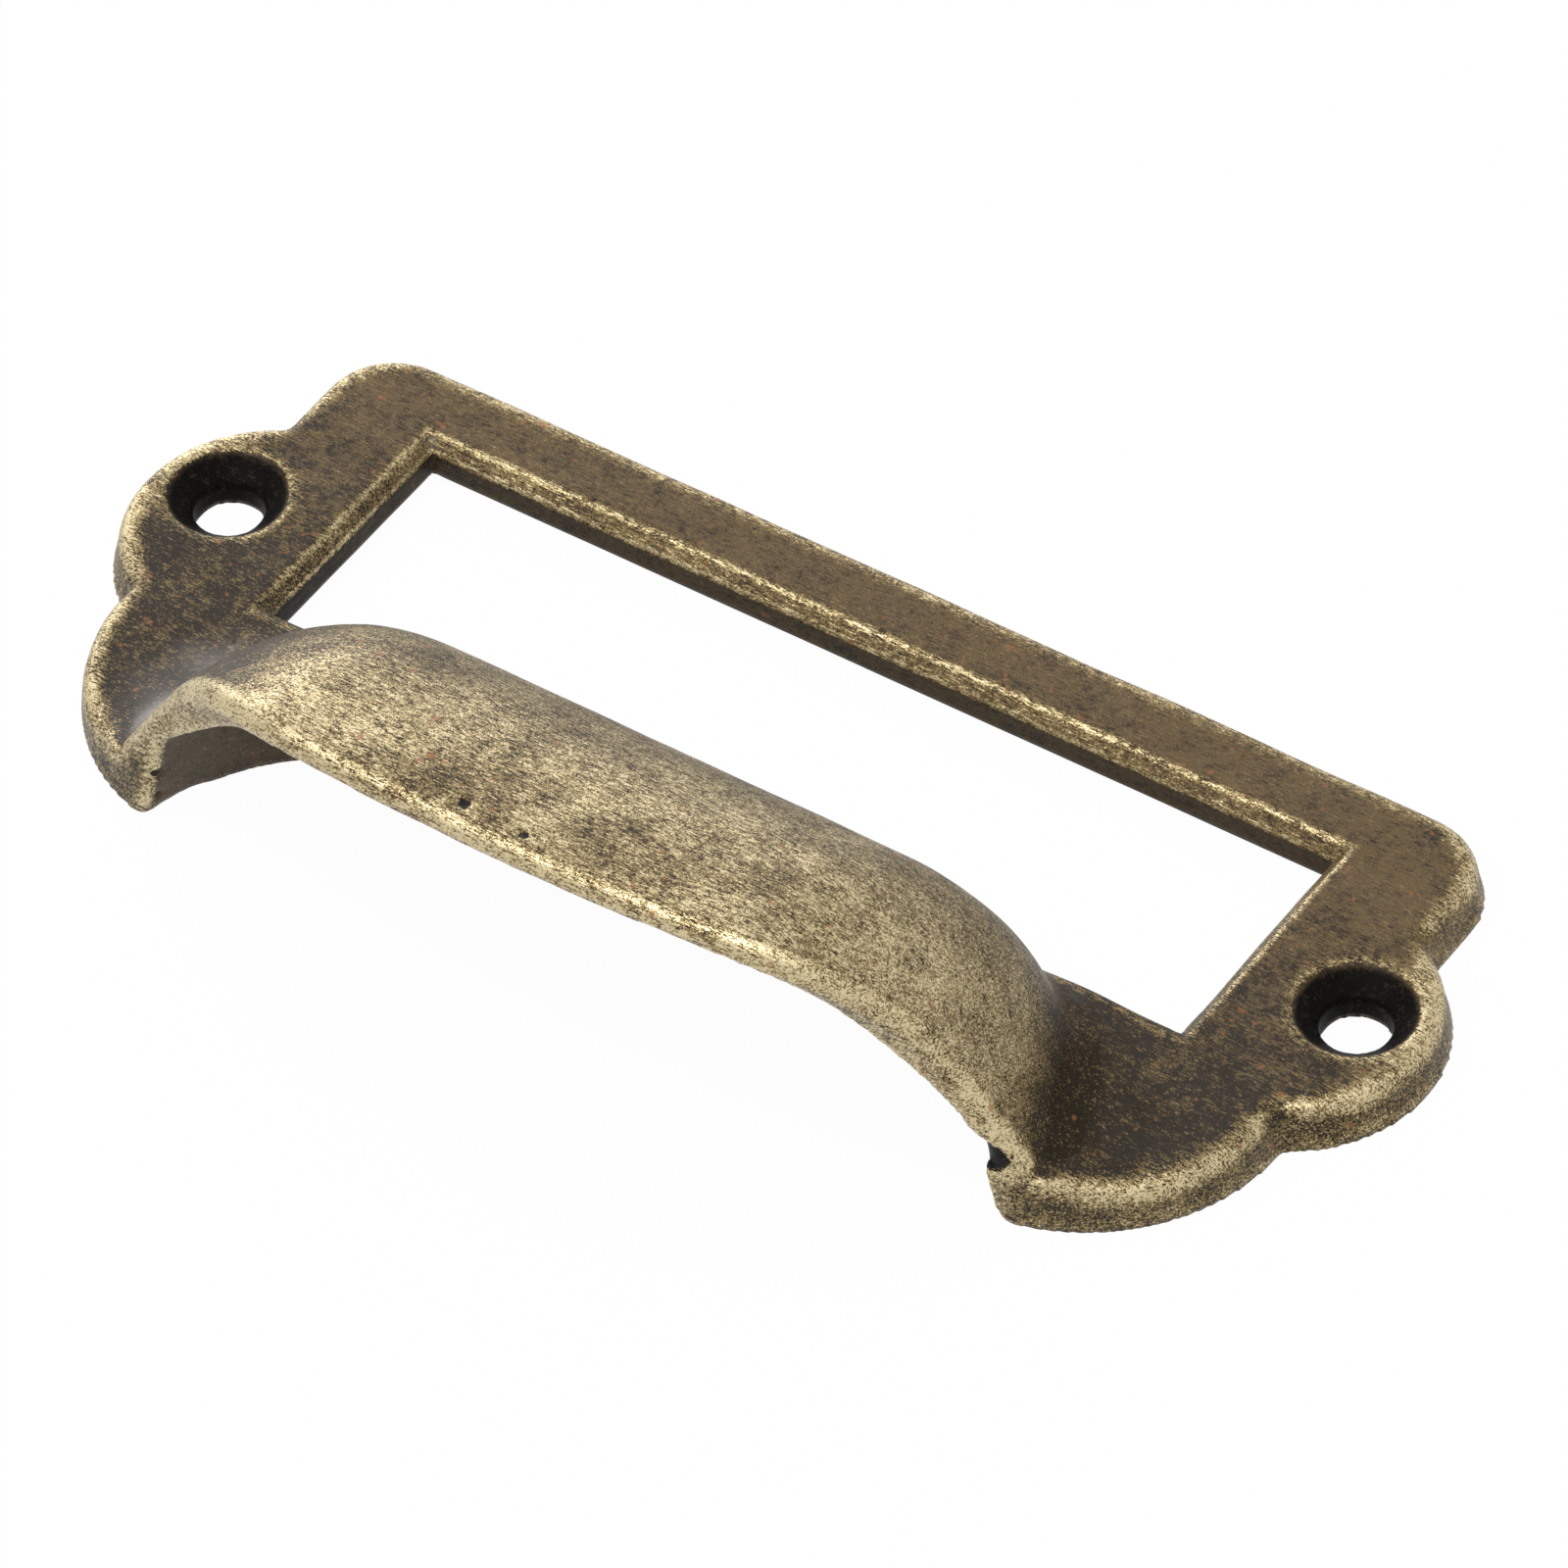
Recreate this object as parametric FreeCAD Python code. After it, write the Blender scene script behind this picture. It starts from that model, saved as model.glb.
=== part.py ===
import FreeCAD, Part
import math
import os
from FreeCAD import Vector

# Label frame pull: one casting with a plate, a label window, two screw ears and a hollow finger pull.
# Frame: origin midway between the screw holes on the back face, +X along the plate, +Y away from the
# pull, +Z out of the drawer front. Lengths are in millimetres, angles in degrees.

# Label window, centred a little behind the line of the screw holes, with a bevel round its outer edge that
# is narrower beside the pull
window_length = 57.8
window_height = 15.1
window_rise = 1.53
window_bevel = 0.75
pull_side_bevel = 0.45

# Shallow recess behind the window, where the label card lies
card_margin = 2.2
card_recess = 0.4

# Screw holes beside the window's ends, and the round ears that carry them
hole_margin = 7.1
hole_radius = 1.95
countersink_radius = 3.45
countersink_depth = 1.3
ear_radius = 8.6
ear_overhang = 5.1
ear_drop = 1.1
notch_radius = 0.8

# Plate: its straight sides stand outside the hole centres, and its back rail runs behind the window
plate_thickness = 2.75
side_margin = 0.85
back_rail = 5.6
front_corner_radius = 11.8
back_corner_radius = 4.6
wall_draft = 12.0
edge_round = 0.9

# Finger pull, outside: arches from the rail in front of the window to the lip. Its feet stand inside the
# plate's sides, less at the lip than at the back
rail_land = 0.1
pull_height = 17.45
pull_reach = 18.8
foot_inset_back = 17.95
foot_inset_front = 6.55
pull_lean = 34.0
pull_shoulder = 13.5
blend_back = 0.5
blend_front = 3.6

# Front face of the lip: barrelled in plan, upright at the feet, and flared to its overhang from where the
# pull's sides stand inside the barrelled length by the margin
lip_reach = 16.6
lip_plan_radius = 162.0
lip_overhang = 4.0
lip_side_margin = 0.35

# Hollow under the pull: the rail left between it and the window, its wall under the lip, and how far its
# feet stand inside the pull's. Its sides are steep up to a knee, slope in above it, and end in a level crown
rail_thickness = 4.4
lip_wall = 1.25
hollow_reach = 14.3
side_wall_back = 1.6
side_wall_front = 2.6
hollow_lean = 15.0
hollow_knee = 7.3
knee_radius = 3.0
hollow_slope = 48.0
crown_radius = 10.0

# Building aids: how far a cutting solid runs past what it cuts, how far behind the back face the hollow's
# arches start, the angles along the quarter ellipse where arches stand, closer in the hollow as it runs
# straight between them, and the share of a low arch's height that its rounds may take; the shoulder round
# grows from nothing at the back by a power of what is left of the rise
overrun = 4.0
hollow_start = 0.3
pull_arch_angles = (6, 14, 24, 35, 46, 57, 68, 79, 90)
hollow_arch_angles = range(6, 91, 6)
round_share = 0.97
shoulder_growth = 1.8

hole_x = window_length / 2 + hole_margin
plate_side = hole_x + side_margin
ear_end = hole_x + ear_overhang
window_front = window_height / 2 - window_rise
plate_back = window_height / 2 + window_rise + back_rail
pull_back = window_front + pull_side_bevel + rail_land
pull_foot_back = plate_side - foot_inset_back
pull_foot_front = plate_side - foot_inset_front
hollow_back = window_front + rail_thickness
hollow_height = pull_height - lip_wall
lip_axis = Vector(0, lip_plan_radius - window_front - lip_reach, 0)
lip_half_length = (plate_side - front_corner_radius) / (1 - front_corner_radius / lip_plan_radius)
side_run = max(lip_side_margin, pull_foot_front - lip_half_length + lip_side_margin)
lip_flare_start = plate_thickness + side_run / math.tan(math.radians(pull_lean))
lip_flare_radius = ((pull_height - lip_flare_start) ** 2 + lip_overhang ** 2) / (2 * lip_overhang)
up = Vector(0, 0, 1)


def arc(centre, radius, start, end):
    """Arc in the plane at the centre's height, between two angles."""
    angles = [math.radians(angle) for angle in (start, (start + end) / 2, end)]
    points = [centre + Vector(radius * math.cos(a), radius * math.sin(a), 0) for a in angles]
    return Part.Arc(*points).toShape()


def draft_inset(z):
    """How far the drafted walls stand inside the outline of the back face at a height."""
    return z * math.tan(math.radians(wall_draft))


def first(edge):
    return edge.Vertexes[0].Point


def last(edge):
    return edge.Vertexes[-1].Point


def plate_outline(z):
    """Wire of the plate without its ears, at a height: drafted sides and back, and an upright front arc."""
    inset = draft_inset(z)
    front_radius = front_corner_radius - inset
    back_radius = back_corner_radius - inset
    front_x = plate_side - front_corner_radius
    corner_path = lip_plan_radius - front_radius
    turn = math.degrees(math.asin(front_x / corner_path))
    front_y = lip_axis.y - corner_path * math.cos(math.radians(turn))
    back_x = plate_side - back_corner_radius
    back_y = plate_back - back_corner_radius
    corners = [
        arc(Vector(front_x, front_y, z), front_radius, turn - 90, 0),
        arc(Vector(back_x, back_y, z), back_radius, 0, 90),
        arc(Vector(-back_x, back_y, z), back_radius, 90, 180),
        arc(Vector(-front_x, front_y, z), front_radius, 180, 270 - turn),
    ]
    edges = []
    for corner, following in zip(corners, corners[1:]):
        edges.append(corner)
        edges.append(Part.makeLine(last(corner), first(following)))
    edges.append(corners[-1])
    edges.append(arc(lip_axis + up * z, lip_plan_radius, 270 - turn, 270 + turn))
    return Part.Wire(edges)


def plate_column():
    """The plate's outline with its ears, drawn up with its draft to where the lip starts to flare."""
    column = Part.makeLoft([plate_outline(0), plate_outline(lip_flare_start)], True, True)
    ear_x = ear_end - ear_radius
    ear_top = ear_radius - draft_inset(lip_flare_start)
    ears = [
        Part.makeCone(ear_radius, ear_top, lip_flare_start, Vector(side * ear_x, -ear_drop, 0))
        for side in (-1, 1)
    ]
    column = column.fuse(ears).removeSplitter()

    def is_notch(edge):
        """An edge that climbs the whole wall, from an ear's rim well before or behind its middle."""
        low, high = sorted((first(edge), last(edge)), key=lambda point: point.z)
        from_ear = Vector(abs(low.x) - ear_x, low.y + ear_drop, 0)
        return (
            high.z - low.z > lip_flare_start - 1e-6
            and abs(from_ear.Length - ear_radius) < 1e-4
            and abs(from_ear.y) > ear_radius / 2)

    return column.makeFillet(notch_radius, [edge for edge in column.Edges if is_notch(edge)])


def casting_envelope():
    """What the outside may fill: the plate's column below, and the flared front face of the lip above it."""
    column = plate_column()
    reach = pull_back + pull_reach + overrun
    height = pull_height + overrun
    low_corner = Vector(-pull_foot_front, -reach, lip_flare_start)
    upper = Part.makeBox(2 * pull_foot_front, reach, height - lip_flare_start, low_corner)
    ring = Part.makeTorus(
        lip_plan_radius + lip_flare_radius, lip_flare_radius, lip_axis + up * lip_flare_start, up)
    return column.fuse(upper.cut(ring))


def pull_side(side, y, half_width, height, rise):
    """One side of an arch of the pull's outside, from its foot on the plate to the end of its level top."""
    floor = plate_thickness
    blend = blend_back + (blend_front - blend_back) * rise ** 4
    shoulder = pull_shoulder * (1 - (1 - rise) ** shoulder_growth)
    tilt = math.radians(pull_lean)
    room = round_share * (height - floor) / (1 - math.sin(tilt)) / (shoulder + blend)
    shoulder *= min(1.0, room)
    blend *= min(1.0, room)
    middle = (tilt + math.pi / 2) / 2

    def on_side(z):
        return half_width - (z - floor) * math.tan(tilt)

    def point(x, z):
        return Vector(side * x, y, z)

    high = height - shoulder * (1 - math.sin(tilt))
    low = floor + blend * (1 - math.sin(tilt))
    shoulder_x = on_side(high) - shoulder * math.cos(tilt)
    foot_x = on_side(low) + blend * math.cos(tilt)
    return [
        Part.Arc(
            point(foot_x, floor),
            point(foot_x - blend * math.cos(middle), floor + blend * (1 - math.sin(middle))),
            point(on_side(low), low)).toShape(),
        Part.makeLine(point(on_side(low), low), point(on_side(high), high)),
        Part.Arc(
            point(on_side(high), high),
            point(shoulder_x + shoulder * math.cos(middle), height - shoulder * (1 - math.sin(middle))),
            point(shoulder_x, height)).toShape(),
    ]


def closed_arch(sides, skirt, base):
    """Closed wire of two arch sides, a level top, and a skirt that runs out and then down to the base."""
    halves = []
    for side, edges in zip((1, -1), sides):
        foot = first(edges[0])
        outer = Vector(side * skirt, foot.y, foot.z)
        drop = Vector(side * skirt, foot.y, base)
        run_out = [Part.makeLine(outer, foot)] if (outer - foot).Length > 1e-6 else []
        halves.append([Part.makeLine(drop, outer)] + run_out + edges)
    right, left = halves
    top = Part.makeLine(last(right[-1]), last(left[-1]))
    bottom = Part.makeLine(first(left[0]), first(right[0]))
    return Part.Wire(right + [top] + left[::-1] + [bottom])


def hollow_side(side, y, half_width, top, rise):
    """One side of an arch of the hollow, with a knee and a crown that grow with the arch."""
    knee_rise = (hollow_knee + hollow_start) * rise
    knee_x = half_width - knee_rise * math.tan(math.radians(hollow_lean))
    crown_x = knee_x - (top + hollow_start - knee_rise) * math.tan(math.radians(hollow_slope))
    corners = [
        Vector(side * half_width, y, -hollow_start),
        Vector(side * knee_x, y, knee_rise - hollow_start),
        Vector(side * crown_x, y, top),
        Vector(0, y, top),
    ]
    edges = []
    start = corners[0]
    for before, corner, after, radius in zip(corners, corners[1:], corners[2:], (knee_radius, crown_radius)):
        back_way = (before - corner).normalize()
        on_way = (after - corner).normalize()
        half_angle = back_way.getAngle(on_way) / 2
        tangent = rise * radius / math.tan(half_angle)
        depth = rise * radius / math.sin(half_angle) - rise * radius
        arc_start = corner + back_way * tangent
        arc_end = corner + on_way * tangent
        edges.append(Part.makeLine(start, arc_start))
        arc_middle = corner + (back_way + on_way).normalize() * depth
        edges.append(Part.Arc(arc_start, arc_middle, arc_end).toShape())
        start = arc_end
    return edges


def arch_loft(back, reach, foot_back, foot_front, floor, height, arch_profile, skirt, angles, ruled):
    """Loft of arches whose profile and footprint are both quarter ellipses from the back to the lip."""
    arches = []
    for angle in angles:
        rise = math.sin(math.radians(angle))
        y = -back - reach * (1 - math.cos(math.radians(angle)))
        half_width = foot_back + (foot_front - foot_back) * rise
        top = floor + (height - floor) * rise
        sides = [arch_profile(side, y, half_width, top, rise) for side in (1, -1)]
        arches.append(closed_arch(sides, skirt or half_width, -overrun))
    front = arches[-1].copy()
    front.translate(Vector(0, -overrun, 0))
    return Part.makeLoft(arches + [front], True, ruled)


def outside():
    """Plate and pull in one block, trimmed to the casting's walls, with its outer top edges rounded."""
    skirt = ear_end + overrun
    pull = arch_loft(
        pull_back, pull_reach, pull_foot_back, pull_foot_front, plate_thickness, pull_height, pull_side,
        skirt, pull_arch_angles, False)
    seam = pull.BoundBox.YMax
    slab = Part.makeBox(
        2 * skirt, plate_back - seam + overrun, plate_thickness + overrun, Vector(-skirt, seam, -overrun))
    envelope = casting_envelope()
    body = slab.fuse(pull).common(envelope).removeSplitter()
    walls = envelope.Shells[0]

    def on_top_rim(edge):
        middle = edge.valueAt((edge.FirstParameter + edge.LastParameter) / 2)
        is_high = min(middle.z, first(edge).z, last(edge).z) > plate_thickness - 1e-3
        return is_high and walls.distToShape(Part.Vertex(middle))[0] < 1e-4

    return body.makeFillet(edge_round, [edge for edge in body.Edges if on_top_rim(edge)])


def window_cut():
    """Label window, with a bevel round its outer edge and the card's recess behind it."""
    def opening(z, margin, pull_side_step=0.0):
        low = Vector(-window_length / 2 - margin, -window_front - margin + pull_side_step, z)
        height = window_height + 2 * margin - pull_side_step
        return Part.makePlane(window_length + 2 * margin, height, low).OuterWire

    bevel_low = plate_thickness - window_bevel
    bevel_high = plate_thickness + rail_land / 2
    bevel_step = window_bevel - pull_side_bevel
    bevel_margin = bevel_high - bevel_low
    through = Part.makeLoft([opening(-overrun, 0), opening(bevel_high, 0)], True, True)
    bevel = Part.makeLoft(
        [opening(bevel_low, 0, bevel_step), opening(bevel_high, bevel_margin, bevel_step)], True, True)
    recess = Part.makeLoft([opening(-overrun, card_margin), opening(card_recess, card_margin)], True, True)
    return through.fuse([bevel, recess])


def screw_cut(x):
    """One screw hole with its countersink."""
    slope = (countersink_radius - hole_radius) / countersink_depth
    sink_low = plate_thickness - countersink_depth
    hole = Part.makeCylinder(hole_radius, plate_thickness + overrun, Vector(x, 0, -overrun))
    sink_top = countersink_radius + slope * overrun
    sink = Part.makeCone(hole_radius, sink_top, countersink_depth + overrun, Vector(x, 0, sink_low))
    return hole.fuse(sink)


def label_frame_pull():
    hollow = arch_loft(
        hollow_back, hollow_reach, pull_foot_back - side_wall_back, pull_foot_front - side_wall_front,
        -hollow_start, hollow_height, hollow_side, None, hollow_arch_angles, True)
    cuts = [hollow, window_cut(), screw_cut(-hole_x), screw_cut(hole_x)]
    return outside().cut(cuts)


os.makedirs("parts", exist_ok=True)
casting = label_frame_pull()
casting.exportStep("parts/label_frame_pull.step")
box = casting.optimalBoundingBox()
print("valid", casting.isValid(), "solids", len(casting.Solids), "volume", round(casting.Volume, 1))
print("size", round(box.XLength, 2), round(box.YLength, 2), round(box.ZLength, 2))
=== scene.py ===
import math

import bpy
import numpy as np
from mathutils import Matrix, Vector
from mathutils.bvhtree import BVHTree
from mathutils.kdtree import KDTree


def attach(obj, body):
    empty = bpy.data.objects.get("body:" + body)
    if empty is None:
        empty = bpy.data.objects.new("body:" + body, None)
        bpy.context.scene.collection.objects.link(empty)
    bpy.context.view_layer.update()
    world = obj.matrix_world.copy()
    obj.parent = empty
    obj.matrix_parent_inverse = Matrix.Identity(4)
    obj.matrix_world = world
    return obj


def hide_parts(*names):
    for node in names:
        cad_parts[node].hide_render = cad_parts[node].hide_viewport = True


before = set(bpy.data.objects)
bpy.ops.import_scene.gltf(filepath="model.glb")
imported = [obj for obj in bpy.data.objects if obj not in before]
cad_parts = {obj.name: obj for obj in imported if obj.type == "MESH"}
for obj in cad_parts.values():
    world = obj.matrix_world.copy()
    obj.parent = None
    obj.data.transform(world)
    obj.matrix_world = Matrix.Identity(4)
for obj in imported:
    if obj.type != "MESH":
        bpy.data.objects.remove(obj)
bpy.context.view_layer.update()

# The label frame pull as a worn casting: a dense skin over the CAD solid, with soft edges, a slightly
# uneven surface and casting flaws, in antique brass whose dark patina is rubbed bright on edges and pull.
# Lengths and places are in millimetres; Blender works in metres.
# A pair of values that smooth_step takes is where a change starts and where it is complete.
MM = 0.001

# Places on the part that its finish follows
hole_x = 36.0
countersink_radius = 3.45
window_half_length = 28.9
window_half_height = 7.55
window_middle_y = 1.53
window_bevel = 0.75
plate_thickness = 2.75
lip_front_y = -19.9

# Skin, and the low waves of its surface
skin_detail = 8
skin_fill = 0.99
smoothing_rounds = 6
smoothing_steps = (0.5, -0.52)
wave_depth = 0.03
wave_length = 6.0
wave_start_z = (0.1, 1.2)
wave_seed = 3

# Feet of the pull: their rounded inner corners, the band of heights above the plate that gives their
# outline, the plate's rise to that outline, and the softened blend between plate and pull
foot_rounds = 10
foot_inner_x = (23.0, 24.5)
foot_outer_x = (26.0, 28.0)
foot_back_y = (-17.5, -16.0)
foot_top_z = (5.0, 6.0)
foot_least_x = 23.5
foot_band = (0.8, 1.4)
ramp_height = 1.0
ramp_reach = 5.0
ramp_depth = 0.5
facing_up = 0.1
blend_rounds = 60
blend_start_z = (plate_thickness - 0.3, plate_thickness - 0.1)
blend_end_z = (7.0, 9.0)
blend_bends = (0.0, 0.08)
blend_bend_rounds = 10

# Casting flaws: pits as middle, radius and depth, a broken corner at the right foot, and a burr below it
pits = (
    ((-2.8, -23.8, 17.4), 0.45, 0.22),
    ((1.1, -24.2, 17.4), 0.38, 0.20),
    ((-29.0, -9.2, 2.75), 0.35, 0.15),
    ((-26.1, -20.1, 3.6), 0.40, 0.22),
    ((-26.5, -19.5, 1.3), 0.35, 0.18),
    ((8.9, -21.0, 17.0), 0.30, 0.10),
)
deep_pit = 0.2
pit_slope = (0.2, 1.0)
pit_shade = (0.3, 1.0)
pit_ragged = 0.3
pit_wave_length = 0.8
pit_seed = 7
broken_corner_xz = ((24.6, 7.0), (28.0, 4.6), (25.0, 2.6))
broken_corner_y = (-21.5, -19.6)
broken_middle = Vector((26.6, -20.0, 4.6))
broken_shade = 0.85
broken_fade = (0.7, 1.4)
burr_low = Vector((27.6, -20.2, 1.4))
burr_high = Vector((27.6, -20.2, 3.4))
burr_height = 0.16
burr_fade = (0.1, 0.5)

# Dull patches on the pull, most of them just behind the lip: middle in plan and radius
dull_patches = (
    ((-6.0, -23.4), 2.4),
    ((-2.0, -22.5), 2.2),
    ((3.0, -21.9), 2.4),
    ((7.5, -21.2), 2.4),
    ((13.0, -20.0), 2.0),
    ((-12.5, -14.0), 2.2),
)
patch_ragged = 0.45
patch_wave_length = 2.6
patch_seed = 11
patch_fade = (0.1, 1.5)
patch_loss = 0.42
patch_least_z = plate_thickness + 2

# Fine marks of the rubbed finish: directions in radians, and marks per millimetre along and across
fibre_turns = ((0.2, 0.3, 0.35), (-0.4, 0.2, 1.35), (0.3, -0.5, 2.4))
fibre_scale = (1.7, 9.5, 9.5)
dark_fibre_turn = (0.4, 0.9, 0.7)

# Noise of the finish, from fine to broad: scale per millimetre, detail, roughness and distortion
fibre_noise = (1.0, 1.0, 0.55, 0.0)
mottle_noise = (2.0, 3.0, 0.65, 0.0)
spot_noise = (1.3, 1.0, 0.55, 0.0)
cloud_noise = (0.5, 3.0, 0.6, 0.0)
broad_noise = (0.15, 2.0, 0.5, 0.3)

# Colours of the finish and of the stage
patina_light = (0.122, 0.080, 0.036, 1)
patina_deep = (0.019, 0.0132, 0.0075, 1)
# painted sheen: the grey of a reflection, laid into the crease by the left foot
painted_sheen_grey = (0.125, 0.108, 0.098, 1)
stain_brown = (0.190, 0.132, 0.052, 1)
recess_black = (0.0060, 0.0052, 0.0045, 1)
recess_brown = (0.034, 0.026, 0.017, 1)
brass_dull = (0.250, 0.188, 0.090, 1)
brass_bright = (0.66, 0.553, 0.338, 1)
copper = (0.30, 0.11, 0.045, 1)
white = (1, 1, 1, 1)
floor_white = (0.93, 0.93, 0.93, 1)

# Stage: the floor, the share of plain white in it for seen rays, the world's light, and two lamps
floor_half_width = 2000.0
floor_gap = 0.05
floor_roughness = 0.9
floor_glow = 0.97
world_strength = 0.5
white_strength = 1.0
key_lamp = {"place": (-220, -500, 1150), "size": 700, "watts": 9.5}
side_lamp = {"place": (-1130, 980, 330), "size": 1200, "watts": 9.0}

# Camera, as fitted to the photograph: azimuth from -Y towards +X, elevation and roll in degrees
camera_azimuth = 35.52
camera_elevation = 45.42
camera_roll = -2.31
camera_distance = 658.0
camera_aim = Vector((-0.03, 0.30, -0.47))
camera_lens = 284.2
camera_sensor = 36.0
camera_nearest = 10.0


def smooth_step(low, high, values):
    """0 below low and 1 above high, with a smooth run between."""
    share = np.clip((values - low) / (high - low), 0, 1)
    return share * share * (3 - 2 * share)


def waves(points, length, seed):
    """Soft random waves from a few sines, about -1 to 1."""
    sines = 10
    length_spread = (0.6, 1.6)
    usual_peak = 4
    rng = np.random.default_rng(seed)
    total = np.zeros(len(points))
    for _ in range(sines):
        direction = rng.normal(size=3)
        direction *= 2 * math.pi / (length * rng.uniform(*length_spread)) / np.linalg.norm(direction)
        total += np.sin(points @ direction + rng.uniform(0, 2 * math.pi))
    return total / usual_peak


class Surface:
    """Vertices of a mesh in millimetres, with the neighbour sums that smoothing and curvature need."""

    def __init__(self, mesh):
        self.mesh = mesh
        self.count = len(mesh.vertices)
        flat = np.empty(self.count * 3)
        mesh.vertices.foreach_get("co", flat)
        self.points = flat.reshape(-1, 3) / MM
        pairs = np.empty(len(mesh.edges) * 2, dtype=np.int64)
        mesh.edges.foreach_get("vertices", pairs)
        pairs = pairs.reshape(-1, 2)
        self.starts = np.concatenate([pairs[:, 0], pairs[:, 1]])
        self.ends = np.concatenate([pairs[:, 1], pairs[:, 0]])
        self.valence = np.bincount(self.starts, minlength=self.count)

    def average(self, values):
        """Mean of each vertex's neighbours."""
        if values.ndim == 1:
            return np.bincount(self.starts, values[self.ends], self.count) / self.valence
        return np.stack([self.average(column) for column in values.T], axis=1)

    def spread(self, values, rounds):
        """Values blurred over the surface."""
        for _ in range(rounds):
            values = 0.5 * values + 0.5 * self.average(values)
        return values

    def smooth(self, rounds):
        """Smoothing in pairs of steps, in and back out, which keeps the volume."""
        for _ in range(rounds):
            for step in smoothing_steps:
                self.points = self.points + step * (self.average(self.points) - self.points)

    def soften(self, share, rounds):
        """Plain smoothing, by a share per vertex, that rounds corners off."""
        for _ in range(rounds):
            self.points = self.points + 0.5 * share[:, None] * (self.average(self.points) - self.points)

    def write(self):
        """Put the points back into the mesh."""
        self.mesh.vertices.foreach_set("co", (self.points * MM).ravel())
        self.mesh.update()

    def normals(self):
        """Normals of the vertices where they are now."""
        self.write()
        flat = np.empty(self.count * 3)
        self.mesh.vertex_normals.foreach_get("vector", flat)
        return flat.reshape(-1, 3)

    def bend(self, rounds):
        """Mean curvature per millimetre, positive on outer edges and negative in hollows."""
        normals = self.normals()
        offset = self.average(self.points) - self.points
        gaps = self.points[self.ends] - self.points[self.starts]
        square = np.bincount(self.starts, (gaps ** 2).sum(1), self.count) / self.valence
        return self.spread(-2 * (offset * normals).sum(1) / square, rounds)

    def exposure(self, reach):
        """Share of the directions off each vertex that are free within a reach, and what has cover above."""
        # each ring is a tilt off the normal in radians and a count of directions
        rings = ((0.0, 1), (0.55, 5), (1.05, 8))
        off_skin = 0.03
        directions = [(tilt, 2 * math.pi * step / steps) for tilt, steps in rings for step in range(steps)]
        normals = self.normals()
        corners = [Vector(point) for point in self.points]
        tree = BVHTree.FromPolygons(corners, [tuple(face.vertices) for face in self.mesh.polygons])
        up = Vector((0, 0, 1))
        free = np.zeros(self.count)
        covered = np.zeros(self.count)
        for index in range(self.count):
            normal = Vector(normals[index])
            across = normal.orthogonal().normalized()
            third = normal.cross(across)
            start = Vector(self.points[index]) + normal * off_skin
            for tilt, turn in directions:
                side = across * math.cos(turn) + third * math.sin(turn)
                direction = normal * math.cos(tilt) + side * math.sin(tilt)
                if tree.ray_cast(start, direction, reach)[0] is None:
                    free[index] += 1
            if tree.ray_cast(start, up)[0] is not None:
                covered[index] = 1
        return free / len(directions), covered


def broken_corner():
    """Small wedge that is missing from the right foot."""
    corners = [(x * MM, y * MM, z * MM) for y in broken_corner_y for x, z in broken_corner_xz]
    faces = [(2, 1, 0), (3, 4, 5), (1, 4, 3, 0), (2, 5, 4, 1), (0, 3, 5, 2)]
    mesh = bpy.data.meshes.new("broken_corner")
    mesh.from_pydata(corners, [], faces)
    wedge = bpy.data.objects.new("broken_corner", mesh)
    bpy.context.scene.collection.objects.link(wedge)
    return wedge


def skin_mesh(node):
    """Even, dense quad mesh over a CAD node, without the broken corner."""
    source = bpy.data.objects.new("skin_source", node.data.copy())
    bpy.context.scene.collection.objects.link(source)
    wedge = broken_corner()
    cut = source.modifiers.new("cut", "BOOLEAN")
    cut.operation = "DIFFERENCE"
    cut.object = wedge
    remesh = source.modifiers.new("remesh", "REMESH")
    remesh.mode = "SHARP"
    remesh.octree_depth = skin_detail
    remesh.scale = skin_fill
    remesh.use_remove_disconnected = False
    depsgraph = bpy.context.evaluated_depsgraph_get()
    mesh = bpy.data.meshes.new_from_object(source.evaluated_get(depsgraph))
    bpy.data.objects.remove(source)
    bpy.data.objects.remove(wedge)
    mesh.materials.clear()
    return mesh


def flaw_shift(points):
    """Displacement of pits and burr, and how much of each vertex is a pit."""
    shift = np.zeros(len(points))
    pitted = np.zeros(len(points))
    ragged = pit_ragged * waves(points, pit_wave_length, pit_seed)
    for middle, radius, depth in pits:
        near = np.linalg.norm(points - np.array(middle), axis=1) / radius + ragged
        shift -= depth * (1 - smooth_step(*pit_slope, near))
        pitted = np.maximum(pitted, min(1, depth / deep_pit) * (1 - smooth_step(*pit_shade, near)))
    from_break = np.linalg.norm(points - np.array(broken_middle), axis=1)
    pitted = np.maximum(pitted, broken_shade * (1 - smooth_step(*broken_fade, from_break)))
    along = np.array(burr_high - burr_low)
    share = np.clip((points - np.array(burr_low)) @ along / (along @ along), 0, 1)
    from_burr = np.linalg.norm(points - np.array(burr_low) - share[:, None] * along, axis=1)
    shift += burr_height * (1 - smooth_step(*burr_fade, from_burr))
    return shift, pitted


def ramp_lift(points, normals):
    """How far the top of the plate is raised where it runs up to the feet of the pull."""
    height = points[:, 2] - plate_thickness
    upward = normals[:, 2] > facing_up
    in_band = (height > foot_band[0]) & (height < foot_band[1])
    on_foot = np.flatnonzero(in_band & (np.abs(points[:, 0]) > foot_least_x) & upward)
    foot = KDTree(len(on_foot))
    for index in on_foot:
        foot.insert((points[index, 0], points[index, 1], 0), index)
    foot.balance()
    lift = np.zeros(len(points))
    for index in np.flatnonzero((height > -ramp_depth) & (height < ramp_height) & upward):
        distance = foot.find((points[index, 0], points[index, 1], 0))[2]
        ramp = ramp_height * max(0.0, 1 - distance / ramp_reach) ** 2
        lift[index] = max(0.0, ramp - max(0.0, height[index]))
    return lift


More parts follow.
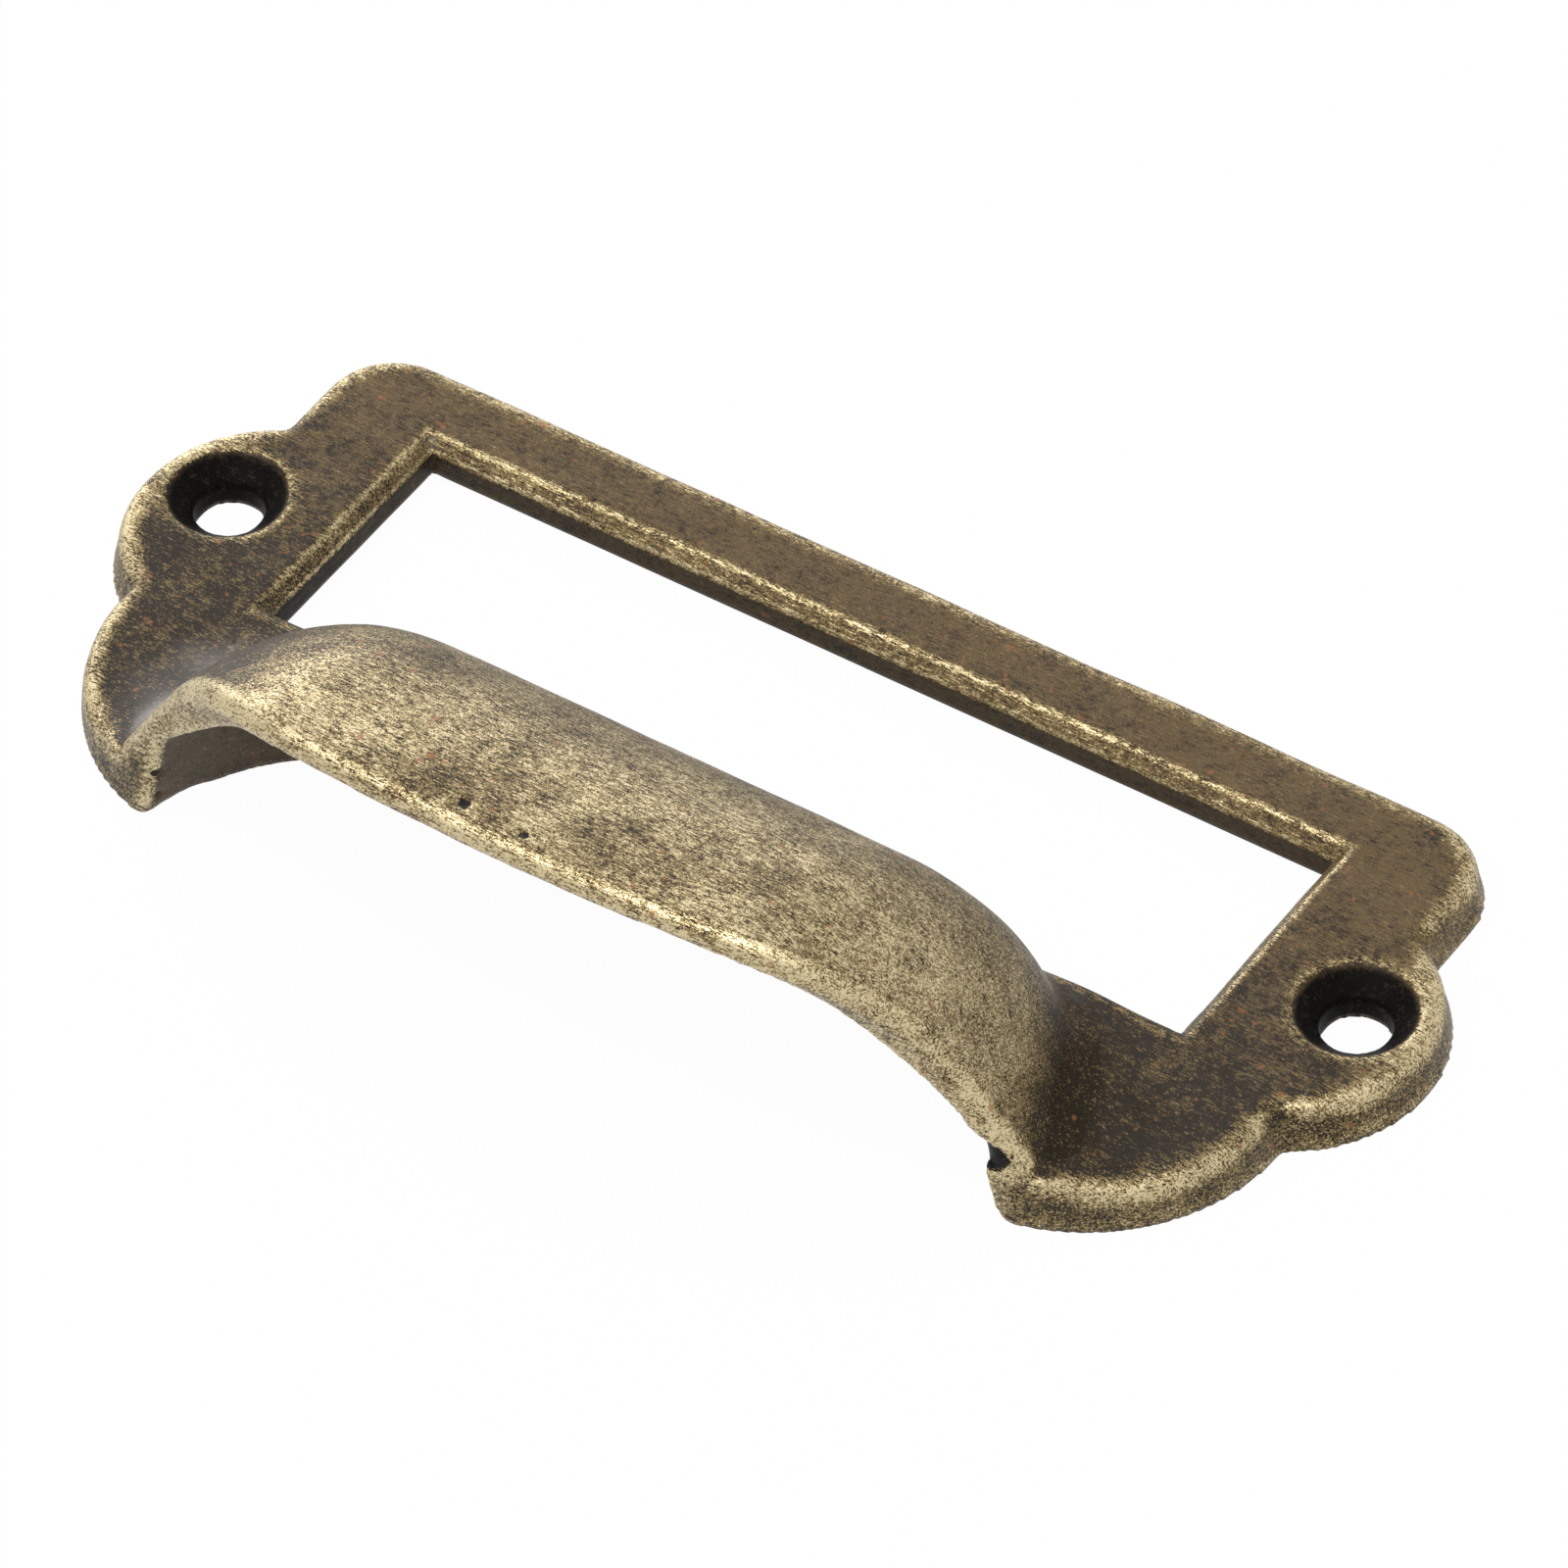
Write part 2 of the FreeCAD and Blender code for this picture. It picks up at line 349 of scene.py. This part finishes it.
def sink_mask(points, normals):
    """Countersinks and their holes, without the flat of the back."""
    rim = (countersink_radius - 0.35, countersink_radius - 0.05)
    back_facings = (-0.9, -0.4)
    from_hole = np.hypot(np.abs(points[:, 0]) - hole_x, points[:, 1])
    return (1 - smooth_step(*rim, from_hole)) * smooth_step(*back_facings, normals[:, 2])


def window_distance(points):
    """How far each point lies outside the window's opening in plan."""
    past_end = np.abs(points[:, 0]) - window_half_length
    past_rail = np.abs(points[:, 1] - window_middle_y) - window_half_height
    return np.maximum(past_end, past_rail)


def dark_mask(surface, in_sink, under, free):
    """Places that stay dark: countersinks, the window's walls, the underside and narrow hollows."""
    window_share = 0.6
    wall_reach = (0.15, 0.35)
    wall_top_z = (1.75, 2.0)
    under_share = 0.30
    hollow_share = 0.45
    hollow_exposure = (0.3, 0.62)
    hollow_rounds = 2
    wall = 1 - smooth_step(*wall_reach, window_distance(surface.points))
    in_window = wall * (1 - smooth_step(*wall_top_z, surface.points[:, 2]))
    sunk = 1 - smooth_step(*hollow_exposure, surface.spread(free, hollow_rounds))
    shares = [in_sink, window_share * in_window, under_share * under, hollow_share * sunk]
    return np.maximum.reduce(shares)


def edge_mask(surface, bend, in_sink):
    """Outer edges, sharp and broad, where the patina is worn through, less so close to the floor."""
    sharp_bends = (0.14, 0.60)
    broad_bends = (0.05, 0.32)
    broad_rounds = 8
    broad_share = 0.62
    window_reach = (1.2, 1.9)
    plate_z = plate_thickness + 0.4
    raised_z = (0.5, 1.2)
    low_share = 0.45
    z = surface.points[:, 2]
    broad = smooth_step(*broad_bends, surface.spread(bend, broad_rounds))
    edge = np.maximum(smooth_step(*sharp_bends, bend), broad_share * broad)
    by_window = 1 - smooth_step(*window_reach, window_distance(surface.points))
    height_share = low_share + (1 - low_share) * smooth_step(*raised_z, z)
    return edge * (1 - in_sink) * (1 - by_window * (z < plate_z)) * height_share


def rub_and_painted_shade_mask(points, normals, dark, under):
    """The pull, rubbed by fingers apart from its dull patches and less on faces turned back, with painted
    shade on faces turned left, and the plate's walls.
    """
    pull_z = (3.6, 8.5)
    back_facings = (0.15, 0.8)
    back_loss = 0.45
    left_facings = (0.15, 0.6)
    left_painted_shade = 0.9
    flat_facings = (0.3, 0.6)
    wall_share = 0.48
    x, y, z = points.T
    back = 1 - back_loss * smooth_step(*back_facings, normals[:, 1])
    # painted shade: faces turned to the left keep their dark patina, so that side is darker
    left = 1 - left_painted_shade * smooth_step(*left_facings, -normals[:, 0])
    rub_and_painted_shade = smooth_step(*pull_z, z) * back * left * (1 - under)
    wall = (1 - smooth_step(*flat_facings, np.abs(normals[:, 2]))) * (1 - dark)
    rub_and_painted_shade = np.maximum(rub_and_painted_shade, wall_share * wall)
    ragged = patch_ragged * waves(points, patch_wave_length, patch_seed)
    for middle, radius in dull_patches:
        near = np.hypot(x - middle[0], y - middle[1]) / radius + ragged
        rub_and_painted_shade = rub_and_painted_shade - patch_loss * rub_and_painted_shade * (1 - smooth_step(*patch_fade, near)) * (z > patch_least_z)
    return rub_and_painted_shade


def tone_and_painted_light_mask(points, under):
    """Patina lighter towards the back and the right of the plate and darker again at its right end, partly
    its own tone and partly painted light and shade, and painted lighter on the underside.
    """
    light_y = (-14.0, 13.0)
    slant = 0.12
    right_end_x = 20
    right_end_slant = 0.2
    x, y, _ = points.T
    slanted = y + slant * x - right_end_slant * np.maximum(x - right_end_x, 0)
    return np.maximum(smooth_step(*light_y, slanted), under)


def painted_crease_mask(surface, bend, in_sink, under):
    """Broad hollows on the plate's top, where a sheen and a shade are painted into the colour."""
    hollow_bends = (0.01, 0.08)
    hollow_rounds = 14
    top_z = (plate_thickness - 0.6, plate_thickness - 0.2)
    hollow = smooth_step(*hollow_bends, -surface.spread(bend, hollow_rounds))
    return hollow * (1 - under) * (1 - in_sink) * smooth_step(*top_z, surface.points[:, 2])


def finish_masks(surface, pitted):
    """Where the finish is worn, rubbed and dark, its tone, and where light, sheen and shade are painted,
    stored on the mesh for the material.
    """
    bend_rounds = 3
    under_rounds = 1
    edge_rounds = 1
    rub_rounds = 3
    cover_reach = 9.0
    lip_facing = -0.4
    # the painted sheen lies by the left foot
    painted_sheen_x = (-27, -22)
    # the painted shade lies by the right foot
    painted_shade_x = (22, 27)
    points = surface.points
    x, y, _ = points.T
    normals = surface.normals()
    bend = surface.bend(bend_rounds)
    free, covered = surface.exposure(cover_reach)
    lip_front = (y < lip_front_y) & (normals[:, 1] < lip_facing)
    under = surface.spread(np.where(lip_front, 0.0, covered), under_rounds)
    in_sink = sink_mask(points, normals)
    dark = dark_mask(surface, in_sink, under, free)
    # creases by the feet, where sheen and shade are painted
    painted_crease = painted_crease_mask(surface, bend, in_sink, under)
    masks = {
        "edge": surface.spread(edge_mask(surface, bend, in_sink), edge_rounds),
        "rub_and_painted_shade": surface.spread(rub_and_painted_shade_mask(points, normals, dark, under), rub_rounds),
        "dark": dark,
        "pit": pitted,
        # patina tone, partly painted light and shade
        "tone_and_painted_light": tone_and_painted_light_mask(points, under),
        # painted sheen in the crease by the left foot
        "painted_sheen": painted_crease * (1 - smooth_step(*painted_sheen_x, x)),
        # painted shade in the crease by the right foot
        "painted_shade": painted_crease * smooth_step(*painted_shade_x, x),
    }
    for name, values in masks.items():
        attribute = surface.mesh.attributes.new(name, "FLOAT", "POINT")
        attribute.data.foreach_set("value", values.astype(np.float32))


def shape_skin(surface):
    """Smooth the skin, round the feet, raise and blend the plate to them, and add waves and flaws."""
    surface.smooth(smoothing_rounds)
    x, y, z = surface.points.T
    at_feet = smooth_step(*foot_inner_x, np.abs(x)) * (1 - smooth_step(*foot_outer_x, np.abs(x)))
    at_feet = at_feet * (1 - smooth_step(*foot_back_y, y)) * (1 - smooth_step(*foot_top_z, z))
    surface.soften(at_feet, foot_rounds)

    surface.points[:, 2] += ramp_lift(surface.points, surface.normals())
    z = surface.points[:, 2]
    by_pull = smooth_step(*blend_start_z, z) * (1 - smooth_step(*blend_end_z, z))
    hollow = smooth_step(*blend_bends, -surface.bend(blend_bend_rounds)) * (surface.normals()[:, 2] > 0)
    surface.soften(by_pull * hollow, blend_rounds)

    normals = surface.normals()
    waviness = wave_depth * waves(surface.points, wave_length, wave_seed)
    waviness *= smooth_step(*wave_start_z, surface.points[:, 2])
    flaws, pitted = flaw_shift(surface.points)
    surface.points = surface.points + normals * (waviness + flaws)[:, None]
    surface.write()
    return pitted


def casting_skin():
    """The casting's skin, which stands for the CAD solid."""
    mesh = skin_mesh(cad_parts["label_frame_pull"])
    surface = Surface(mesh)
    pitted = shape_skin(surface)
    finish_masks(surface, pitted)
    for face in mesh.polygons:
        face.use_smooth = True
    casting = bpy.data.objects.new("casting", mesh)
    bpy.context.scene.collection.objects.link(casting)
    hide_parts("label_frame_pull")
    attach(casting, "root")
    return casting


class Nodes:
    """Short calls for the nodes of a material or world."""

    def __init__(self, owner):
        owner.use_nodes = True
        self.tree = owner.node_tree

    def add(self, kind, inputs=(), **settings):
        """New node, with its settings and inputs."""
        node = self.tree.nodes.new("ShaderNode" + kind)
        for key, value in settings.items():
            setattr(node, key, value)
        for socket, value in dict(inputs).items():
            self.put(node.inputs[socket], value)
        return node

    def put(self, socket, value):
        """Link another node's output to a socket, or set the socket itself."""
        if isinstance(value, bpy.types.NodeSocket):
            self.tree.links.new(value, socket)
        else:
            socket.default_value = value

    def math(self, operation, *values):
        return self.add("Math", dict(enumerate(values)), operation=operation).outputs[0]

    def chain(self, operation, values):
        """One operation over all values, from the first on."""
        total = values[0]
        for value in values[1:]:
            total = self.math(operation, total, value)
        return total

    def plus(self, *values):
        return self.chain("ADD", values)

    def times(self, *values):
        return self.chain("MULTIPLY", values)

    def most(self, *values):
        return self.chain("MAXIMUM", values)

    def minus(self, first, second):
        return self.math("SUBTRACT", first, second)

    def rest(self, share):
        """What a share leaves of 1."""
        return self.minus(1.0, share)

    def size(self, value):
        """A value without its sign."""
        return self.math("ABSOLUTE", value)

    def step(self, low, high, value):
        """Smooth 0 to 1 between two values."""
        inputs = {"Value": value, "From Min": low, "From Max": high}
        return self.add("MapRange", inputs, interpolation_type="SMOOTHSTEP").outputs[0]

    def between(self, share, low, high):
        """Straight run from low to high as a share goes from 0 to 1."""
        return self.add("MapRange", {"Value": share, "To Min": low, "To Max": high}).outputs[0]

    def near(self, value, middle, width):
        """1 where a value is at the middle, falling to 0 at a width to either side."""
        return self.rest(self.step(0.0, width, self.size(self.minus(value, middle))))

    def mix(self, share, first, second):
        """Mix of two colours, whose sockets come after those for numbers and vectors."""
        node = self.add("Mix", data_type="RGBA")
        self.put(node.inputs[0], share)
        self.put(node.inputs[6], first)
        self.put(node.inputs[7], second)
        return node.outputs[2]

    def attribute(self, name):
        return self.add("Attribute", attribute_name=name).outputs["Fac"]

    def seen(self):
        """1 for rays that show the background: from the camera, or off or through the part."""
        path = self.add("LightPath").outputs
        return self.most(path["Is Camera Ray"], path["Is Glossy Ray"], path["Is Transmission Ray"])

    def stretched(self, coordinates, turn, scale):
        """Coordinates turned and stretched, for marks with a direction."""
        return self.add("Mapping", {"Vector": coordinates, "Rotation": turn, "Scale": scale}).outputs[0]

    def noise(self, coordinates, scale, detail, rough, distortion):
        inputs = {"Vector": coordinates, "Scale": scale, "Detail": detail}
        inputs.update({"Roughness": rough, "Distortion": distortion})
        return self.add("TexNoise", inputs).outputs["Fac"]

    def centred_noise(self, coordinates, kind):
        """Noise that goes to either side of 0."""
        return self.minus(self.noise(coordinates, *kind), 0.5)

    def fibres(self, coordinates):
        """Short fine marks, each the strongest of three crossing directions."""
        turned = [self.stretched(coordinates, turn, fibre_scale) for turn in fibre_turns]
        return self.most(*[self.noise(direction, *fibre_noise) for direction in turned])


def bevel_wear(nodes, x, y, z):
    """Wear on the two edges and the face of the bevel round the window, less on its front rail."""
    low_edge = 0.06
    low_width = 0.22
    low_level = 0.70
    high_width = 0.45
    high_level = 0.60
    face_width = 0.8
    face_level = 0.26
    front_rail_y = (-5.5, -3.0)
    front_rail_share = 0.45
    bevel_bottom_z = (1.65, 1.9)
    bevel_top_z = (2.9, 3.4)
    past_end = nodes.minus(nodes.size(x), window_half_length)
    past_rail = nodes.minus(nodes.size(nodes.minus(y, window_middle_y)), window_half_height)
    from_window = nodes.most(past_end, past_rail)
    low = nodes.times(nodes.near(from_window, low_edge, low_width), low_level)
    high = nodes.times(nodes.near(from_window, window_bevel, high_width), high_level)
    face = nodes.times(nodes.near(from_window, window_bevel / 2, face_width), face_level)
    rail_share = nodes.between(nodes.step(*front_rail_y, y), front_rail_share, 1.0)
    above = nodes.step(*bevel_bottom_z, z)
    below = nodes.rest(nodes.step(*bevel_top_z, z))
    return nodes.times(nodes.most(low, high, face), rail_share, above, below)


def rim_wear(nodes, x, y, z):
    """Wear on the rims of the countersinks."""
    rim_radius = countersink_radius + 0.1
    rim_width = 0.5
    rim_z = (1.8, 2.4)
    rim_level = 0.42
    across = nodes.minus(nodes.size(x), hole_x)
    from_hole = nodes.math("SQRT", nodes.plus(nodes.times(across, across), nodes.times(y, y)))
    return nodes.times(nodes.near(from_hole, rim_radius, rim_width), nodes.step(*rim_z, z), rim_level)


def uneven_wear(nodes, wear, marks, mottle, clouds, broad):
    """Wear with the finish's unevenness on it, which grows with the wear."""
    marks_share = 2.5
    mottle_share = 0.55
    clouds_share = 0.75
    broad_share = 0.35
    least_swing = 0.62
    swing_growth = 0.7
    uneven = nodes.plus(
        nodes.times(broad, broad_share),
        nodes.times(clouds, clouds_share),
        nodes.times(mottle, mottle_share),
        nodes.times(marks, marks_share))
    swing = nodes.plus(least_swing, nodes.times(wear, swing_growth))
    return nodes.plus(wear, nodes.times(uneven, swing))


def patina_colour(nodes, marks, mottle, clouds, painted_sheen, painted_shade, black):
    """Colour of the patina where nothing is worn: mottled brown, partly lighter or darker as painted light,
    with a painted sheen, painted shade and dark recesses.
    """
    mottle_share = 1.8
    marks_share = 3.0
    light_tones = (-0.15, 1.2)
    painted_shade_share = 0.9
    painted_sheen_share = 0.5
    recess_tones = (0.05, 0.35)
    tone = nodes.plus(
        nodes.times(nodes.plus(clouds, mottle), mottle_share),
        # patina tone, partly painted light and shade, and painted lighter on the underside
        nodes.attribute("tone_and_painted_light"),
        nodes.times(marks, marks_share))
    patina = nodes.mix(nodes.step(*light_tones, tone), patina_deep, patina_light)
    # painted shade: darker patina in the crease by the right foot
    patina = nodes.mix(nodes.times(painted_shade, painted_shade_share), patina, patina_deep)
    # painted sheen: a grey reflection mixed into the patina by the left foot
    patina = nodes.mix(nodes.times(painted_sheen, painted_sheen_share), patina, painted_sheen_grey)
    recess = nodes.mix(nodes.step(*recess_tones, nodes.plus(mottle, marks)), recess_black, recess_brown)
    return nodes.mix(black, patina, recess)


def worn_colour(nodes, level, patina):
    """Colour as the patina is rubbed through: a brown stain, then dull brass, then bright brass."""
    stain_levels = (0.10, 0.42)
    dull_levels = (0.28, 0.62)
    bright_levels = (0.50, 1.10)
    colour = nodes.mix(nodes.step(*stain_levels, level), patina, stain_brown)
    colour = nodes.mix(nodes.step(*dull_levels, level), colour, brass_dull)
    return nodes.mix(nodes.step(*bright_levels, level), colour, brass_bright)


def antique_brass():
    """Brass under a dark patina that is rubbed through on edges and pull, with light, sheen and shade
    painted into its colour in places.
    """
    edge_level = 0.92
    pull_level = 0.62
    pit_levels = (0.3, 0.7)
    pit_mottle = 0.9
    spot_levels = (0.70, 0.78)
    spot_share = 0.6
    bare_levels = (0.20, 0.70)
    metallic = (0.12, 1.0)
    roughness = (0.48, 0.40)
    least_coat = 0.05
    painted_sheen_coat = 0.85
    coat_roughness = 0.38
    specular = (0.18, 0.03)
    painted_shade_dullness = 0.8
    bump_strength = 0.35
    bump_depth = 0.1

    material = bpy.data.materials.new("antique_brass")
    nodes = Nodes(material)
    place = nodes.stretched(nodes.add("TexCoord").outputs["Object"], (0, 0, 0), (1 / MM, 1 / MM, 1 / MM))
    x, y, z = nodes.add("SeparateXYZ", {0: place}).outputs
    dark = nodes.attribute("dark")
    # painted sheen, as stored on the mesh
    painted_sheen = nodes.attribute("painted_sheen")
    # painted shade, as stored on the mesh
    painted_shade = nodes.attribute("painted_shade")

    dark_fibres = nodes.fibres(nodes.stretched(place, dark_fibre_turn, (1, 1, 1)))
    marks = nodes.minus(nodes.fibres(place), dark_fibres)
    mottle = nodes.centred_noise(place, mottle_noise)
    clouds = nodes.centred_noise(place, cloud_noise)
    broad = nodes.centred_noise(place, broad_noise)
    pit = nodes.step(*pit_levels, nodes.plus(nodes.attribute("pit"), nodes.times(mottle, pit_mottle)))

    # how far the patina is rubbed through: 0 is all patina and 1 is bright brass
    edge_wear = nodes.times(nodes.attribute("edge"), edge_level)
    # the pull's wear, with painted shade on its faces turned left
    pull_wear_and_painted_shade = nodes.times(nodes.attribute("rub_and_painted_shade"), pull_level)
    wear = nodes.most(edge_wear, pull_wear_and_painted_shade, bevel_wear(nodes, x, y, z), rim_wear(nodes, x, y, z))
    level = uneven_wear(nodes, wear, marks, mottle, clouds, broad)
    level = nodes.minus(level, nodes.plus(pit, dark))

    patina = patina_colour(nodes, marks, mottle, clouds, painted_sheen, painted_shade, nodes.most(dark, pit))
    colour = worn_colour(nodes, level, patina)
    spots = nodes.step(*spot_levels, nodes.noise(place, *spot_noise))
    colour = nodes.mix(nodes.times(spots, nodes.rest(dark), spot_share), colour, copper)

    bare = nodes.step(*bare_levels, level)
    # more coat where the sheen is painted
    coat = nodes.plus(least_coat, nodes.times(painted_sheen, painted_sheen_coat))
    # less specular where the shade is painted
    dull = nodes.most(dark, nodes.times(painted_shade, painted_shade_dullness))
    bump = nodes.add("Bump", {"Height": marks, "Strength": bump_strength, "Distance": bump_depth * MM})
    sockets = nodes.tree.nodes["Principled BSDF"].inputs
    nodes.put(sockets["Base Color"], colour)
    nodes.put(sockets["Metallic"], nodes.between(bare, *metallic))
    nodes.put(sockets["Roughness"], nodes.between(bare, *roughness))
    nodes.put(sockets["Coat Weight"], nodes.times(coat, nodes.rest(dark)))
    nodes.put(sockets["Coat Roughness"], coat_roughness)
    nodes.put(sockets["Specular IOR Level"], nodes.between(dull, *specular))
    nodes.put(sockets["Normal"], bump.outputs[0])
    return material


def floor_material():
    """Pale matt floor that seen rays show as almost plain white, with a faint shadow."""
    material = bpy.data.materials.new("floor")
    nodes = Nodes(material)
    matt = nodes.tree.nodes["Principled BSDF"]
    nodes.put(matt.inputs["Base Color"], floor_white)
    nodes.put(matt.inputs["Roughness"], floor_roughness)
    glow = nodes.add("Emission", {"Color": white, "Strength": white_strength})
    share = nodes.times(nodes.seen(), floor_glow)
    mixed = nodes.add("MixShader", {0: share, 1: matt.outputs[0], 2: glow.outputs[0]})
    nodes.put(nodes.tree.nodes["Material Output"].inputs["Surface"], mixed.outputs[0])
    return material


def pale_floor():
    """Square floor just under the part."""
    mesh = bpy.data.meshes.new("floor")
    half = floor_half_width * MM
    corners = [(-half, -half, 0), (half, -half, 0), (half, half, 0), (-half, half, 0)]
    mesh.from_pydata(corners, [], [(0, 1, 2, 3)])
    mesh.materials.append(floor_material())
    floor = bpy.data.objects.new("floor", mesh)
    floor.location.z = -floor_gap * MM
    bpy.context.scene.collection.objects.link(floor)


def studio_world():
    """Soft light from all round, white to seen rays."""
    world = bpy.data.worlds.new("studio")
    bpy.context.scene.world = world
    nodes = Nodes(world)
    background = nodes.tree.nodes["Background"]
    nodes.put(background.inputs["Color"], white)
    strength = nodes.between(nodes.seen(), world_strength, white_strength)
    nodes.put(background.inputs["Strength"], strength)


def soft_lamp(name, place, size, watts):
    """Round area lamp that faces the part."""
    data = bpy.data.lights.new(name, "AREA")
    data.shape = "DISK"
    data.size = size * MM
    data.energy = watts
    lamp = bpy.data.objects.new(name, data)
    lamp.location = Vector(place) * MM
    lamp.rotation_euler = (-lamp.location).to_track_quat("-Z", "Y").to_euler()
    bpy.context.scene.collection.objects.link(lamp)


def photo_camera():
    """Camera at the photograph's viewing angle."""
    data = bpy.data.cameras.new("camera")
    data.lens = camera_lens
    data.sensor_width = camera_sensor
    data.clip_start = camera_nearest * MM
    camera = bpy.data.objects.new("camera", data)
    turn = math.radians(camera_azimuth)
    lift = math.radians(camera_elevation)
    back = Vector((math.sin(turn) * math.cos(lift), -math.cos(turn) * math.cos(lift), math.sin(lift)))
    right = Vector((math.cos(turn), math.sin(turn), 0))
    up = back.cross(right)
    level = Matrix((right, up, back)).transposed()
    rolled = level @ Matrix.Rotation(math.radians(camera_roll), 3, "Z")
    place = (camera_aim + back * camera_distance) * MM
    camera.matrix_world = Matrix.Translation(place) @ rolled.to_4x4()
    bpy.context.scene.collection.objects.link(camera)
    bpy.context.scene.camera = camera


casting = casting_skin()
casting.data.materials.append(antique_brass())
pale_floor()
studio_world()
soft_lamp("key", **key_lamp)
soft_lamp("side", **side_lamp)
photo_camera()
bpy.context.scene.view_settings.view_transform = "Standard"
